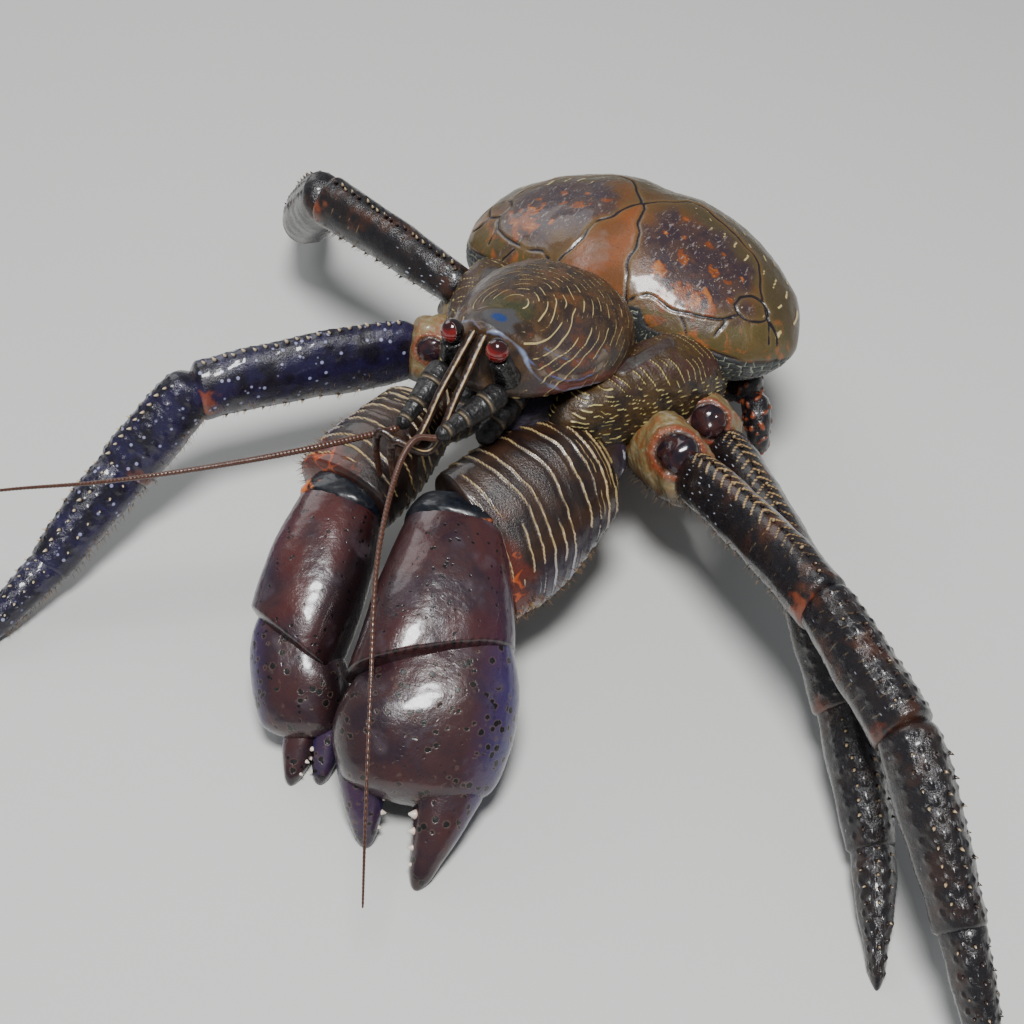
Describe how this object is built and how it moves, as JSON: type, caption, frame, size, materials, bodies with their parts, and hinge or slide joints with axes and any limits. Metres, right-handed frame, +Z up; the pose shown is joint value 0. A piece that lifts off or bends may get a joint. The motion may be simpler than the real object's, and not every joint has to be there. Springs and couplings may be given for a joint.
{
  "type": "coconut crab",
  "caption": "Life-size coconut crab standing still, great claws resting on the ground, abdomen folded under, long feelers out in front.",
  "frame": {"origin": "middle of the flat under the folded abdomen, on the floor", "axes": "+Z up, -Y the way the crab faces, +X the crab's left"},
  "size_m": [0.4409, 0.3327, 0.1198],
  "materials": {
    "carapace": "glossy",
    "dome": "glossy",
    "flank": "satin",
    "underside": "matt",
    "abdomen": "satin",
    "claw": "glossy",
    "claw_merus": "glossy",
    "leg": "glossy",
    "leg_blue": "glossy",
    "joint": "satin",
    "feeler": "satin",
    "eye": "glossy"
  },
  "bodies": {
    "root": {"abdomen_belly": "abdomen", "abdomen_tail": "abdomen", "abdomen_tergite_2": "abdomen", "abdomen_tergite_3": "abdomen", "abdomen_tergite_4": "abdomen", "abdomen_tergite_5": "abdomen", "antenna_flagellum_left": "feeler", "antenna_flagellum_right": "feeler", "antenna_peduncle_left": "feeler", "antenna_peduncle_right": "feeler", "antennule_left": "feeler", "antennule_right": "feeler", "carapace_dome_left": "dome", "carapace_dome_right": "dome", "carapace_flank_left": "flank", "carapace_flank_right": "flank", "carapace_heart": "dome", "carapace_shield": "carapace", "claw_left_carpus": "claw", "claw_left_coxa": "claw_merus", "claw_left_finger": "claw", "claw_left_merus": "claw_merus", "claw_left_palm": "claw", "claw_right_carpus": "claw", "claw_right_coxa": "claw_merus", "claw_right_finger": "claw", "claw_right_merus": "claw_merus", "claw_right_palm": "claw", "eye_left": "eye", "eye_right": "eye", "eye_stalk_left": "feeler", "eye_stalk_right": "feeler", "leg2_left_carpus": "leg", "leg2_left_coxa": "joint", "leg2_left_dactylus": "leg", "leg2_left_merus": "leg", "leg2_left_propodus": "leg", "leg2_right_carpus": "leg_blue", "leg2_right_coxa": "joint", "leg2_right_dactylus": "leg_blue", "leg2_right_merus": "leg_blue", "leg2_right_propodus": "leg_blue", "leg3_left_carpus": "leg", "leg3_left_coxa": "joint", "leg3_left_dactylus": "leg", "leg3_left_merus": "leg", "leg3_left_propodus": "leg", "leg3_right_carpus": "leg", "leg3_right_coxa": "joint", "leg3_right_dactylus": "leg", "leg3_right_merus": "leg", "leg3_right_propodus": "leg", "leg4_left_hand": "leg", "leg4_left_merus": "leg", "leg4_right_hand": "leg", "leg4_right_merus": "leg", "maxilliped_left": "claw_merus", "maxilliped_right": "claw_merus", "thorax": "underside"}
  },
  "joints": []
}
